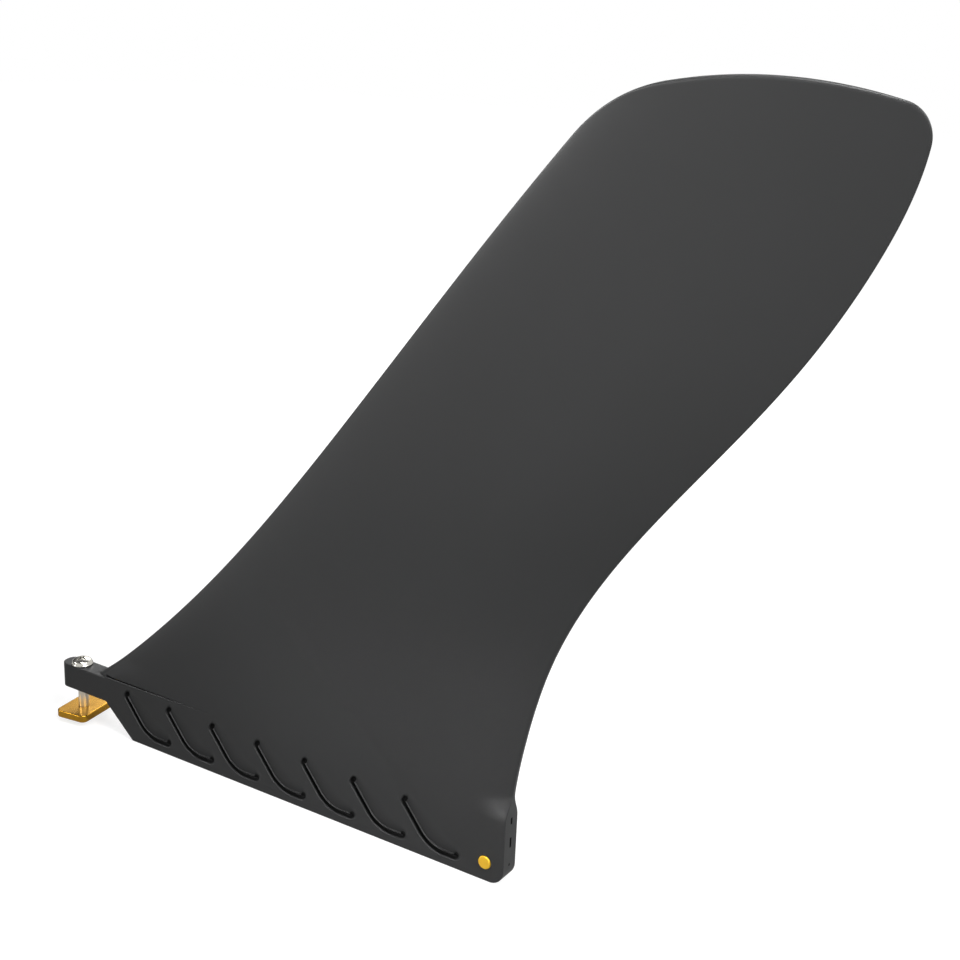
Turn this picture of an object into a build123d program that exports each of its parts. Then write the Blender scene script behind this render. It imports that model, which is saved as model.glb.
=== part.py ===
from build123d import *
from math import cos, hypot, radians, sin, tan
import os

os.makedirs("parts", exist_ok=True)

# A moulded centre fin for a slotted fin box, standing blade up on the bottom of its base.
# The origin is the middle of the base's bottom face, +X runs from the tongue to the rear pin.

# Base that slides into the fin box
base_length = 163.5
base_height = 22.8
base_thickness = 7.5
heel_radius = 5.2
base_edge_break = 0.35

# Tongue that carries the screw, ahead of the base and a step below its top
nose_slant_run = 13.6
tongue_underside = 12.2
tongue_top = 21.9
tongue_reach = 37.7
tongue_end_radius = 3.4
screw_from_tongue_end = 8.2

# Blade: the leading edge's stations are (along, height) from its root on the tongue's top, and the
# trailing edge's are from the heel's top corner
leading_root_from_toe = 18.8
leading_root_angle = 34.0
leading_stations = [(22.8, 18.1), (63.8, 58.1), (114.6, 118.1), (190.1, 211.9)]
leading_tip_angle = 49.3
tip_front_radius = 47.4
tip_front_turn = 38.2
tip_crown_radius = 145.0
tip_crown_turn = 24.8
tip_rear_radius = 9.2
tip_rear_turn = 84.0
trailing_stations = [(94.9, 187.2), (78.1, 157.2), (33.4, 97.2), (11.6, 57.2), (3.4, 27.2)]

# Foil: thickness along its edges and at the tip, and how long its nose and its tail run
tip_thickness = 2.4
leading_edge_thickness = 1.0
leading_foot_thickness = 0.3
trailing_edge_thickness = 0.7
shoulder_height = 9.0
nose_length_foot = 12.0
nose_length_root = 48.0
nose_length_tip = 24.0
nose_bluntness_foot = 0.4
nose_bluntness = 0.1
tail_length_root = 14.0
tail_length_blade = 46.0
tail_growth_height = 60.0
tail_bluntness = 0.5
heel_edge_taper = 0.02
blade_level_count = 8
foil_overrun = 1.0

# Grooves in each side of the base: a steep limb, a bend and a foot along the bottom
groove_count = 7
groove_pitch = 21.15
first_groove_ahead_of_toe = 3.05
groove_top_height = 18.2
groove_foot_height = 4.15
groove_reach = 21.3
groove_slope = 49.8
groove_bend_radius = 12.0
groove_width = 1.9
groove_depth = 1.2
scoop_bulge = 3.0
scoop_depth = 1.3
scoop_margin = 0.8
cutter_overrun = 0.5

# Marks left by the mould on the rear end face, as (height of the middle, length)
rear_slots = [(22.2, 2.6), (14.5, 3.8)]
rear_slot_width = 1.0
rear_slot_depth = 1.5
rear_dimple_height = 6.5
rear_dimple_diameter = 1.2
rear_dimple_depth = 0.4

# Brass pin across the rear of the base
pin_diameter = 4.6
pin_clearance = 0.02
pin_from_heel = 7.0
pin_height = 6.6
pin_proud = 0.5
pin_chamfer = 0.35

# Machine screw down through the tongue
screw_diameter = 4.0
screw_hole_clearance = 0.2
screw_length = 20.0
screw_head_diameter = 8.2
screw_head_height = 2.6
screw_head_edge = 0.55
screw_head_shoulder = 2.4
screw_head_flat = 4.1
screw_point_chamfer = 0.5
recess_width = 4.4
recess_wing = 0.95
recess_depth = 1.7
recess_taper = 12.0

# Brass plate that the screw draws up inside the box's track
plate_length = 13.6
plate_width = 17.2
plate_thickness = 2.8
plate_corner_radius = 2.2
plate_edge_break = 0.4
plate_drop = 17.3
plate_turn = 8.0
plate_thread_clearance = 0.04

# Places that follow from the sizes above
toe = -base_length / 2
heel = base_length / 2
half_base = base_thickness / 2
nose_x = toe - nose_slant_run
screw_x = toe - tongue_reach + screw_from_tongue_end
pin_x = heel - pin_from_heel
plate_top = tongue_top - plate_drop
leading_root = (toe - leading_root_from_toe, tongue_top)
leading_points = [leading_root] + [(leading_root[0] + x, tongue_top + z) for x, z in leading_stations]
trailing_points = [(heel + x, base_height + z) for x, z in trailing_stations]
shoulder_top = base_height + shoulder_height


def direction(angle):
    return (cos(radians(angle)), sin(radians(angle)))


def along_at(curve, height):
    """Where the blade's edge stands at a height, carried on straight past its end at the tip."""
    rises = curve.position_at(1).Y > curve.position_at(0).Y
    tip_end = 1 if rises else 0
    end = curve.position_at(tip_end)
    if height >= end.Y:
        slope = curve.tangent_at(tip_end)
        return end.X + (height - end.Y) * slope.X / slope.Y
    low, high = 0.0, 1.0
    for _ in range(40):
        middle = (low + high) / 2
        above = curve.position_at(middle).Y > height
        if above == rises:
            high = middle
        else:
            low = middle
    return curve.position_at((low + high) / 2).X


# Side view of the whole moulding: base, slanted toe, tongue and blade in one closed outline
with BuildPart() as outline:
    with BuildSketch(Plane.XZ):
        with BuildLine():
            leading_edge = Spline(
                *leading_points,
                tangents=[direction(leading_root_angle), direction(leading_tip_angle)],
            )
            tip_front = JernArc(
                leading_edge @ 1, leading_edge % 1, radius=tip_front_radius, arc_size=-tip_front_turn
            )
            tip_crown = JernArc(tip_front @ 1, tip_front % 1, radius=tip_crown_radius, arc_size=-tip_crown_turn)
            tip_rear = JernArc(tip_crown @ 1, tip_crown % 1, radius=tip_rear_radius, arc_size=-tip_rear_turn)
            trailing_edge = Spline(
                tip_rear @ 1,
                *trailing_points,
                (heel, base_height),
                tangents=[tip_rear % 1, (0, -1)],
            )
            FilletPolyline((heel, base_height), (heel, 0), (toe, 0), radius=heel_radius)
            Polyline(
                (toe, 0),
                (nose_x, tongue_underside),
                (toe - tongue_reach, tongue_underside),
                (toe - tongue_reach, tongue_top),
                leading_root,
            )
        make_face()
    extrude(amount=base_thickness, both=True)


blade_top = outline.part.bounding_box().max.Z


def rise_share(height):
    return (height - base_height) / (blade_top - base_height)


def edge_rise(edge, half_edge, half_thick, length, bluntness):
    """The side of the foil from an edge up to its full thickness, which it meets square on."""
    return Bezier((edge, half_edge), (edge + bluntness * length, half_thick), (edge + length, half_thick))


def foil_section(height, nose_edge, nose_length, bluntness, half_tail_edge, tail_length):
    """One level slice of the blade, a little longer than the outline that trims it."""
    half_thick = half_base + (tip_thickness / 2 - half_base) * max(0.0, rise_share(height))
    front = along_at(leading_edge, height) - foil_overrun
    back = along_at(trailing_edge, height) + foil_overrun
    with BuildSketch(Plane.XY.offset(height)) as section:
        with BuildLine():
            nose = edge_rise(front, nose_edge / 2, half_thick, nose_length, bluntness)
            tail = edge_rise(back, half_tail_edge, half_thick, -tail_length, tail_bluntness)
            Line(nose @ 1, tail @ 1)
            Polyline(tail @ 0, (back, 0), (front, 0), nose @ 0)
        make_face()
        mirror(about=Plane.XZ)
    return section.sketch


def blade_section(height):
    """A slice of the blade proper, whose nose shortens and whose tail lengthens up the blade."""
    nose_length = nose_length_root + (nose_length_tip - nose_length_root) * rise_share(height)
    growth = min(1.0, (height - shoulder_top) / tail_growth_height)
    tail_length = tail_length_root + (tail_length_blade - tail_length_root) * growth
    return foil_section(
        height, leading_edge_thickness, nose_length, nose_bluntness,
        trailing_edge_thickness / 2, tail_length,
    )


# Thickness of the moulding at every level: flat sided base, flared shoulder and tapering blade
with BuildPart() as foil:
    with Locations((heel + foil_overrun, 0, 0)):
        Box(
            heel - nose_x + foil_overrun, base_thickness, base_height,
            align=(Align.MAX, Align.CENTER, Align.MIN),
        )
        Box(
            base_length + tongue_reach + 2 * foil_overrun, base_thickness, tongue_top,
            align=(Align.MAX, Align.CENTER, Align.MIN),
        )
    chamfer(foil.edges().filter_by(Axis.X).group_by(Axis.Z)[0], length=base_edge_break)
    foot = foil_section(
        tongue_top, leading_foot_thickness, nose_length_foot, nose_bluntness_foot,
        half_base - heel_edge_taper, tail_length_root,
    )
    loft([foot, blade_section(shoulder_top)], ruled=True)
    blade_levels = []
    for level in range(blade_level_count):
        rise = (blade_top + foil_overrun - shoulder_top) * level / (blade_level_count - 1)
        blade_levels.append(blade_section(shoulder_top + rise))
    loft(blade_levels)


# One groove with the dished scoop on its inner side, cut from the near side
with BuildPart() as groove:
    groove_run = (groove_top_height - groove_foot_height) / tan(radians(groove_slope))
    groove_top = (0, groove_top_height)
    groove_knee = (groove_run, groove_foot_height)
    groove_end = (groove_reach, groove_foot_height)
    chord = hypot(groove_reach, groove_top_height - groove_foot_height)
    dish_rim = (chord**2 / 4 + scoop_bulge**2) / (2 * scoop_bulge)
    dish_offset = dish_rim - scoop_bulge
    dish_x = groove_reach / 2 - dish_offset * (groove_top_height - groove_foot_height) / chord
    dish_z = (groove_top_height + groove_foot_height) / 2 - dish_offset * groove_reach / chord
    dish_radius = (dish_rim**2 + scoop_depth**2) / (2 * scoop_depth)
    with BuildSketch(Plane.XZ.offset(half_base + cutter_overrun)):
        with BuildLine():
            middle = FilletPolyline(groove_top, groove_knee, groove_end, radius=groove_bend_radius)
            RadiusArc(middle @ 1, middle @ 0, scoop_margin - dish_rim)
        make_face()
    extrude(amount=-(groove_depth + cutter_overrun))
    with Locations((dish_x, scoop_depth - half_base - dish_radius, dish_z)):
        Sphere(dish_radius, mode=Mode.INTERSECT)
    with BuildSketch(Plane.XZ.offset(half_base + cutter_overrun)):
        with BuildLine():
            FilletPolyline(groove_top, groove_knee, groove_end, radius=groove_bend_radius)
            offset(amount=groove_width / 2, kind=Kind.ARC, mode=Mode.REPLACE)
        make_face()
    extrude(amount=-(groove_depth + cutter_overrun))

groove_places = [(toe - first_groove_ahead_of_toe + k * groove_pitch, 0, 0) for k in range(groove_count)]

with BuildPart() as moulded_fin:
    add(outline.part)
    add(foil.part, mode=Mode.INTERSECT)
    fillet(
        moulded_fin.edges().filter_by(Axis.Z).group_by(Axis.X)[0],
        radius=tongue_end_radius,
    )
    with Locations(groove_places):
        add(groove.part, mode=Mode.SUBTRACT)
        add(groove.part.mirror(Plane.XZ), mode=Mode.SUBTRACT)
    with BuildSketch(Plane.XZ):
        with Locations((pin_x, pin_height)):
            Circle(pin_diameter / 2 + pin_clearance)
    extrude(amount=base_thickness, both=True, mode=Mode.SUBTRACT)
    with BuildSketch(Plane.XY.offset(tongue_top)):
        with Locations((screw_x, 0)):
            Circle(screw_diameter / 2 + screw_hole_clearance)
    extrude(amount=tongue_underside - tongue_top, mode=Mode.SUBTRACT)
    with BuildSketch(Plane.YZ.offset(heel)):
        for height, length in rear_slots:
            with Locations((0, height)):
                SlotOverall(length, rear_slot_width, rotation=90)
    extrude(amount=-rear_slot_depth, mode=Mode.SUBTRACT)
    with BuildSketch(Plane.YZ.offset(heel)):
        with Locations((0, rear_dimple_height)):
            Circle(rear_dimple_diameter / 2)
    extrude(amount=-rear_dimple_depth, mode=Mode.SUBTRACT)

moulded_fin.part.label = "moulded_fin"
export_step(moulded_fin.part, "parts/moulded_fin.step")

# Cross pin with a small chamfer round each end
with BuildPart() as cross_pin:
    with BuildSketch(Plane.XZ):
        with Locations((pin_x, pin_height)):
            Circle(pin_diameter / 2)
    extrude(amount=half_base + pin_proud, both=True)
    chamfer(cross_pin.edges().filter_by(GeomType.CIRCLE), length=pin_chamfer)

cross_pin.part.label = "cross_pin"
export_step(cross_pin.part, "parts/cross_pin.step")

# Pan head screw: low domed head, cross recess and plain shank
with BuildPart() as fin_screw:
    with BuildSketch(Plane.XZ):
        with BuildLine():
            shank_radius = screw_diameter / 2
            head_radius = screw_head_diameter / 2
            head_edge = (head_radius, screw_head_edge)
            Polyline(
                (0, screw_head_height), (0, -screw_length),
                (shank_radius - screw_point_chamfer, -screw_length),
                (shank_radius, screw_point_chamfer - screw_length),
                (shank_radius, 0), (head_radius, 0), head_edge,
            )
            Bezier(
                head_edge,
                (head_radius, screw_head_shoulder),
                (screw_head_flat / 2, screw_head_height),
                (0, screw_head_height),
            )
        make_face()
    revolve(axis=Axis.Z)
    with BuildSketch(Plane.XY.offset(screw_head_height)):
        Rectangle(recess_width, recess_wing)
        Rectangle(recess_wing, recess_width)
    extrude(amount=-recess_depth, taper=recess_taper, mode=Mode.SUBTRACT)

fin_screw.part.location = Location((screw_x, 0, tongue_top))
fin_screw.part.label = "fin_screw"
export_step(fin_screw.part, "parts/fin_screw.step")

# Track plate: a brass oblong with rounded corners, tapped through its middle
plate_plane = Plane(origin=(screw_x, 0, plate_top)).rotated((0, 0, plate_turn))
with BuildPart() as track_plate:
    with BuildSketch(plate_plane):
        RectangleRounded(plate_length, plate_width, plate_corner_radius)
        Circle(screw_diameter / 2 + plate_thread_clearance, mode=Mode.SUBTRACT)
    extrude(amount=-plate_thickness)
    rim_edges = track_plate.faces().filter_by(Axis.Z).edges().filter_by(
        lambda edge: edge.distance_to(Vertex(screw_x, 0, edge.center().Z)) > screw_diameter
    )
    chamfer(rim_edges, length=plate_edge_break)

track_plate.part.label = "track_plate"
export_step(track_plate.part, "parts/track_plate.step")
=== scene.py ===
from math import atan2, cos, hypot, pi, radians, sin, tan

import bmesh
import bpy
import numpy as np
from mathutils import Matrix, Vector
from mathutils.geometry import delaunay_2d_cdt


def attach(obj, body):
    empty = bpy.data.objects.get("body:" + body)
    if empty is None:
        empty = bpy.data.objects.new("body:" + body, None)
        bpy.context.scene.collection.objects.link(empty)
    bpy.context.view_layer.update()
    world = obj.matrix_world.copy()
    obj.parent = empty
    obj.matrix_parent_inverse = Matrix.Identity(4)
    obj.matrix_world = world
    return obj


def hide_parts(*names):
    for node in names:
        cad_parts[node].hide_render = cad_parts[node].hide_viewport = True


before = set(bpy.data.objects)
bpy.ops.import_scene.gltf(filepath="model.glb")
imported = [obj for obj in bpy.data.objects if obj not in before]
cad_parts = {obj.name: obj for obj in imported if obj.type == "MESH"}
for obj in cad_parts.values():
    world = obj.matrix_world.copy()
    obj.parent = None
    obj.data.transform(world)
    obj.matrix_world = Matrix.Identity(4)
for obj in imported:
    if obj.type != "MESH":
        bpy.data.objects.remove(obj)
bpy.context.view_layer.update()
mm = 0.001

# Light: the even room light, the floor's own brightness to the camera and in mirrors, and the lamps,
# each with its power in watts and, where it is held in, the angle of its beam
room_light = 0.1
floor_glow = 0.78
mirror_glow = 0.15
lamps = {
    "key": {"place": (1.15, -0.25, 1.15), "aim": (0.02, 0.0, 0.11), "size": (0.8, 0.8), "power": 27.0},
    "back": {"place": (-0.55, 0.8, 0.62), "aim": (0.0, 0.0, 0.1), "size": (0.5, 0.5), "power": 4.0},
    "top": {
        "place": (0.1, -0.12, 0.95), "aim": (0.14, 0.0, 0.25), "size": (0.3, 0.3),
        "power": 0.42, "beam": radians(36),
    },
    "left": {
        "place": (-0.6, -0.55, 0.5), "aim": (0.1, 0.0, 0.25), "size": (0.24, 0.24),
        "power": 0.66, "beam": radians(48),
    },
    "front": {
        "place": (-0.12, -0.85, 0.03), "aim": (0.075, 0.0, 0.045), "size": (0.2, 0.05),
        "power": 0.0105, "beam": radians(7),
    },
}

# Studio in mirrors: darker overhead and past the tongue, as (where it starts, its run, how much darker)
dark_ceiling = (0.62, 1 / 6, 0.85)
dark_wing = (-0.62, 0.2, 0.9)

# Floor: a wide square just under the part, which turns plain white past a distance
floor_half_width = 4.0
floor_height = -0.2 * mm
white_from = 0.2
white_run = 0.25

# Camera, at the photograph's viewing angle
camera_azimuth = radians(32.11)
camera_elevation = radians(17.39)
camera_roll = radians(2.41)
camera_place = Vector((0.2843, -0.3500, 0.2608))
camera_lens = 54.4
camera_sensor = 36.0

# Colours
nylon_tones = [(0.0285, 0.029, 0.029, 1), (0.0315, 0.0317, 0.0325, 1)]
# Painted shade: the near-black colour the nylon takes in its grooves, slots and crease, where shade
# falls
nylon_painted_shade = (0.003, 0.0031, 0.0033, 1)
brass_tones = [(0.50, 0.25, 0.022, 1), (0.62, 0.33, 0.036, 1)]
# Painted brightness: a paler brass for the pin, standing in for the light its rough cut end catches
brass_pin_painted_brightness = (0.82, 0.52, 0.05, 1)
steel_tones = [(0.50, 0.485, 0.44, 1), (0.58, 0.565, 0.52, 1)]
# Painted brightness: a paler steel for the shank, standing in for its bright reflections
steel_shank_painted_brightness = (0.80, 0.77, 0.69, 1)
# Painted shade: a dark steel for the head's cross recess, where shade falls
steel_painted_shade = (0.1, 0.096, 0.085, 1)
floor_grey = (0.3, 0.3, 0.3, 1)
black = (0, 0, 0, 1)
white = (1, 1, 1, 1)

# Mesh: angles of the points in a rounded edge, how close points become one, and the radius of a ring
# that becomes the middle of a round end
round_angles = np.linspace(0, pi / 2, 7)
weld = 2e-6
middle_ring = 1e-6

# Base and tongue, in metres, with the origin in the middle of the base's bottom face
toe = -81.75 * mm
heel = 81.75 * mm
half_base = 3.75 * mm
base_top = 22.8 * mm
heel_radius = 5.2 * mm
toe_radius = 1.0 * mm
nose_foot = toe - 13.6 * mm
tongue_low = 12.2 * mm
tongue_high = 21.9 * mm
tongue_end = toe - 37.7 * mm
tongue_round = 3.4 * mm
tongue_start = tongue_end + tongue_round
root_x = toe - 18.8 * mm
edge_round = 0.35 * mm
tongue_levels = np.linspace(tongue_low + edge_round, tongue_high - edge_round, 6)

# Blade outline: stations as (along, height) in millimetres, from the root on the tongue's top for the
# leading edge and from the heel's top corner for the trailing edge; arcs of the tip as (radius, turn)
root_angle = radians(34.0)
leading_stations = [(22.8, 18.1), (63.8, 58.1), (114.6, 118.1), (190.1, 211.9)]
leading_tip_angle = radians(49.3)
tip_arcs = [(47.4 * mm, radians(38.2)), (145.0 * mm, radians(24.8)), (9.2 * mm, radians(84.0))]
trailing_stations = [(94.9, 187.2), (78.1, 157.2), (33.4, 97.2), (11.6, 57.2), (3.4, 27.2)]
span_points = 60
arc_points = 41

# Foil: half thicknesses at its edges, how long its nose and its tail run, and how blunt the nose is
shoulder_height = 9.0 * mm
half_tip = 1.2 * mm
half_nose_foot = 0.15 * mm
half_nose = 0.5 * mm
half_tail = 0.35 * mm
nose_length_foot = 9.5 * mm
nose_length_root = 48.0 * mm
nose_length_tip = 24.0 * mm
nose_bluntness_foot = 0.45
nose_bluntness = 0.1
plain_bluntness = 0.5
nose_climb = 20.0 * mm
tail_length_root = 17.0 * mm
tail_length_blade = 46.0 * mm
tail_growth_height = 60.0 * mm
foil_overrun = 1.0 * mm

# Foot of the blade: the strip that joins it to the base, and the fine crease in front
foot_inset = 0.1 * mm
strip_height = 0.6 * mm
strip_fall = 6.0 * mm
step_half_run = 0.15 * mm
crease_depth = 0.75 * mm
crease_drop = 0.3 * mm
crease_height = 0.14 * mm
crease_spread = 0.25 * mm
crease_start = 0.5 * mm
crease_run = 58.0 * mm

# Rounding of the blade's edge, and the runs over which it changes
leading_round = 0.5 * mm
root_round = 1.4 * mm
root_round_run = 24.0 * mm
tip_round = 1.15 * mm
tip_round_run = 20.0 * mm
trailing_round = edge_round
trailing_round_run = 30.0 * mm
level_run = 20.0 * mm

# Grid of the blade's side, and how much closer its lines lie near the edges
blade_columns = 112
blade_rows = 150
column_pull = 0.75
row_pull = 0.5

# Grooves: the crest is the line between the channel and the shallow scoop behind it; sections are
# (from the crest, depth) in millimetres, and held is the share of an end's turn that stays a channel
groove_count = 7
groove_pitch = 21.15 * mm
groove_start = toe - 1.65 * mm
crest_top = 17.45 * mm
crest_foot = 5.0 * mm
crest_reach = 19.1 * mm
crest_slope = radians(51.3)
crest_bend = 11.0 * mm
crest_points = 61
turn_points = 25
held_top = 0.4
held_foot = 0.05
scoop_near = 1.1 * mm
scoop_spread = 1.1
channel_section = [
    (0.0, 0.11), (0.05, 0.12), (0.09, 0.17), (0.12, 0.3), (0.15, 0.6), (0.22, 1.3), (0.34, 1.7),
    (0.56, 1.8), (1.0, 1.8), (1.36, 1.76), (1.6, 1.6), (1.76, 1.3), (1.85, 0.85), (1.9, 0.5),
    (1.95, 0.28), (2.01, 0.13), (2.09, 0.04), (2.2, 0.0),
]
scoop_section = [
    (0.0, 0.11), (0.04, 0.12), (0.07, 0.17), (0.1, 0.27), (0.13, 0.36), (0.18, 0.43), (0.26, 0.47),
    (0.4, 0.485), (0.6, 0.475), (0.9, 0.44), (1.3, 0.38), (1.75, 0.31), (2.3, 0.225), (2.8, 0.16),
    (3.3, 0.1), (3.8, 0.055), (4.3, 0.025), (5.0, 0.0),
]

# Rear end face: slots as (middle, length) in height, and a dimple
rear_slots = [(22.2 * mm, 2.6 * mm), (14.5 * mm, 3.8 * mm)]
slot_half_width = 0.5 * mm
slot_depth = 1.5 * mm
dimple_z = 6.5 * mm
dimple_radius = 0.6 * mm
dimple_depth = 0.35 * mm
end_face_top = 24.6 * mm

# Cross pin and its bore; the dome of its ends, round their middle, is (radius, drop) in millimetres
pin_x = heel - 7.0 * mm
pin_z = 6.6 * mm
pin_radius = 2.3 * mm
pin_gap = 0.03 * mm
pin_proud = 0.5 * mm
pin_round = 0.45 * mm
pin_dome = [(0.5, 0.002), (1.2, 0.02)]
pin_dome_drop = 0.05 * mm
bore_chamfer = 0.16 * mm
bore_chamfer_depth = 0.14 * mm

# Screw: its head's profile is (radius, height) in millimetres above the tongue's top, and the recess's
# floor and middle are shares of its reach
screw_x = toe - 29.5 * mm
screw_hole = 2.2 * mm
screw_radius = 2.0 * mm
screw_length = 20.0 * mm
screw_point = 0.5 * mm
head_profile = [
    (3.5, 0.0), (3.55, 0.2), (4.0, 0.22), (4.08, 0.26), (4.1, 0.32), (4.1, 0.48), (4.04, 0.58),
    (3.97, 0.64), (3.92, 0.76), (3.85, 0.98), (3.75, 1.24), (3.6, 1.5), (3.42, 1.71), (3.2, 1.88),
    (2.95, 2.02), (2.7, 2.13), (2.45, 2.22),
]
head_top = 2.6
recess_half_width = 0.36 * mm
recess_reach = 2.1 * mm
recess_core = 0.62 * mm
recess_depth = 1.5 * mm
recess_point = 0.3 * mm
recess_floor = 0.32
recess_middle = 1e-4
recess_lip = 0.05 * mm
wing_flare = 1.25
wing_neck = 0.3
wing_end = 0.6

# Track plate
plate_turn = radians(8.0)
plate_half_length = 6.8 * mm
plate_half_width = 8.6 * mm
plate_corner = 2.2 * mm
plate_round = 0.4 * mm
plate_top = 4.6 * mm
plate_low = 1.8 * mm
plate_hole = 2.04 * mm
plate_bevel = 0.15 * mm

# Painted shade, a darker colour where shade falls in sunk places: the bands that it keeps to, the
# depths at which it starts, and the runs of its edges; the grooves' is in two steps, as (depth, run,
# share)
fade = 0.2 * mm
fine_fade = 0.05 * mm
groove_band = (2.2 * mm, 20.8 * mm)
groove_end = 68.0 * mm
groove_fade = 1.0 * mm
toe_lean = 1.1
groove_shades = [(0.05 * mm, 0.38 * mm, 0.4), (0.5 * mm, 0.2 * mm, 0.6)]
slot_band = (5.4 * mm, 24.2 * mm)
slot_shade_half_width = 0.65 * mm
slot_shade_depth = 0.12 * mm
slot_shade_end = 2.2 * mm
crease_band = (22.0 * mm, 23.2 * mm)
crease_shade_depth = 0.16 * mm
crease_end = -32.0 * mm
crease_fade_out = 10.0 * mm
recess_shade_radius = 2.15 * mm
recess_shade_top = 2.25 * mm


class Shell:
    """Gathers grids, strips and fills of one closed skin, then welds them into a mesh."""

    def __init__(self):
        self.points = []
        self.faces = []
        self.count = 0

    def add(self, points, faces):
        points = np.asarray(points, float).reshape(-1, 3)
        self.points.append(points)
        self.faces.extend([tuple(self.count + i for i in face) for face in faces])
        self.count += len(points)

    def grid(self, rows):
        """A sheet of quads over rows of points, each row as long as the others."""
        rows = np.asarray(rows, float)
        high, wide = rows.shape[:2]
        faces = []
        for j in range(high - 1):
            for i in range(wide - 1):
                corner = j * wide + i
                faces.append((corner, corner + 1, corner + wide + 1, corner + wide))
        self.add(rows, faces)

    def loops(self, rings):
        """A sheet of quads over closed rings of points."""
        self.grid([list(ring) + [ring[0]] for ring in rings])

    def to_middle(self, line):
        """A flat strip from a line to the middle plane."""
        self.grid([line, line * [1, 0, 1]])

    def fill(self, outer, holes, place):
        """A flat area inside one outline and outside its holes; place turns plane points into space."""
        outlines = [tidy_loop(loop) for loop in [outer] + holes]
        flat = [Vector(point) for loop in outlines for point in loop]
        edges = []
        start = 0
        for loop in outlines:
            size = len(loop)
            edges += [(start + i, start + (i + 1) % size) for i in range(size)]
            start += size
        found, _, faces, *_ = delaunay_2d_cdt(flat, edges, [], 0, 1e-9)
        kept = []
        for face in faces:
            middle = sum((found[i] for i in face), Vector((0, 0))) / len(face)
            if sum(holds(loop, middle) for loop in outlines) == 1:
                kept.append(tuple(face))
        self.add([place(point.x, point.y) for point in found], kept)

    def mirror(self):
        """Adds the far half, the near one turned over at the middle plane."""
        near = np.concatenate(self.points)
        self.add(near * [1, -1, 1], [face[::-1] for face in self.faces])

    def mesh(self, name):
        data = bpy.data.meshes.new(name)
        data.from_pydata(np.concatenate(self.points).tolist(), [], self.faces)
        skin = bmesh.new()
        skin.from_mesh(data)
        bmesh.ops.remove_doubles(skin, verts=skin.verts, dist=weld)
        bmesh.ops.dissolve_degenerate(skin, edges=skin.edges, dist=weld)
        bmesh.ops.recalc_face_normals(skin, faces=skin.faces)
        skin.to_mesh(data)
        skin.free()
        return data


def tidy_loop(loop):
    """A closed loop of plane points with no point twice in a row."""
    kept = []
    for point in loop:
        if not kept or hypot(point[0] - kept[-1][0], point[1] - kept[-1][1]) > weld:
            kept.append((float(point[0]), float(point[1])))
    if hypot(kept[0][0] - kept[-1][0], kept[0][1] - kept[-1][1]) <= weld:
        kept.pop()
    return kept


def holds(loop, point):
    """True where a closed loop goes round a point."""
    inside = False
    for (ax, ay), (bx, by) in zip(loop, loop[1:] + loop[:1]):
        if (ay > point.y) != (by > point.y):
            if point.x < ax + (point.y - ay) * (bx - ax) / (by - ay):
                inside = not inside
    return inside


def smooth(share):
    """A share from 0 to 1, eased at both ends."""
    share = np.clip(share, 0, 1)
    return share * share * (3 - 2 * share)


def turned(x, y, angle):
    """A plane point turned about the origin."""
    return x * cos(angle) - y * sin(angle), x * sin(angle) + y * cos(angle)


def around(steps):
    """Angles evenly spaced round a circle."""
    return np.linspace(0, 2 * pi, steps + 1)[:-1]


def unit(ways):
    return ways / np.linalg.norm(ways, axis=1)[:, None]


def right_of(ways):
    """Plane ways turned a quarter to the right."""
    return np.stack([ways[:, 1], -ways[:, 0]], axis=1)


def run_along(points):
    """How far along a polyline each of its points is."""
    return np.concatenate([[0], np.cumsum(np.linalg.norm(np.diff(points, axis=0), axis=1))])


def at_shares(points, shares):
    """Points at shares of a polyline's length."""
    along = run_along(points)
    return np.stack([np.interp(shares * along[-1], along, points[:, k]) for k in range(2)], axis=1)


def eased(count, pull):
    """Shares from 0 to 1 that lie closer together at both ends."""
    share = np.linspace(0, 1, count)
    return share - pull * np.sin(2 * pi * share) / (2 * pi)


def at_height(line, z):
    """The points of a plan at one height."""
    return np.column_stack([line, np.full(len(line), z)])


def spline(points, start_way, end_way, count):
    """A smooth curve through points, with its direction given at both ends."""
    points = np.asarray(points, float)
    step = np.linalg.norm(np.diff(points, axis=0), axis=1)
    size = len(points)
    matrix = np.zeros((size, size))
    right = np.zeros((size, 2))
    matrix[0, 0] = matrix[-1, -1] = 1
    right[0], right[-1] = start_way, end_way
    for i in range(1, size - 1):
        before, after = step[i - 1], step[i]
        matrix[i, i - 1 : i + 2] = after, 2 * (before + after), before
        right[i] = 3 * (
            after * (points[i] - points[i - 1]) / before + before * (points[i + 1] - points[i]) / after
        )
    ways = np.linalg.solve(matrix, right)
    curve = []
    for i in range(size - 1):
        share = np.linspace(0, 1, count, endpoint=i == size - 2)[:, None]
        curve.append(
            (2 * share**3 - 3 * share**2 + 1) * points[i]
            + (share**3 - 2 * share**2 + share) * step[i] * ways[i]
            + (3 * share**2 - 2 * share**3) * points[i + 1]
            + (share**3 - share**2) * step[i] * ways[i + 1]
        )
    return np.concatenate(curve)


def arc_on(start, angle, radius, turn, count):
    """An arc to the right that leaves a point at an angle; gives its points and its last angle."""
    centre = start + radius * np.array([sin(angle), -cos(angle)])
    angles = angle - np.linspace(0, turn, count)
    return centre + radius * np.stack([-np.sin(angles), np.cos(angles)], axis=1), angle - turn


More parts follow.
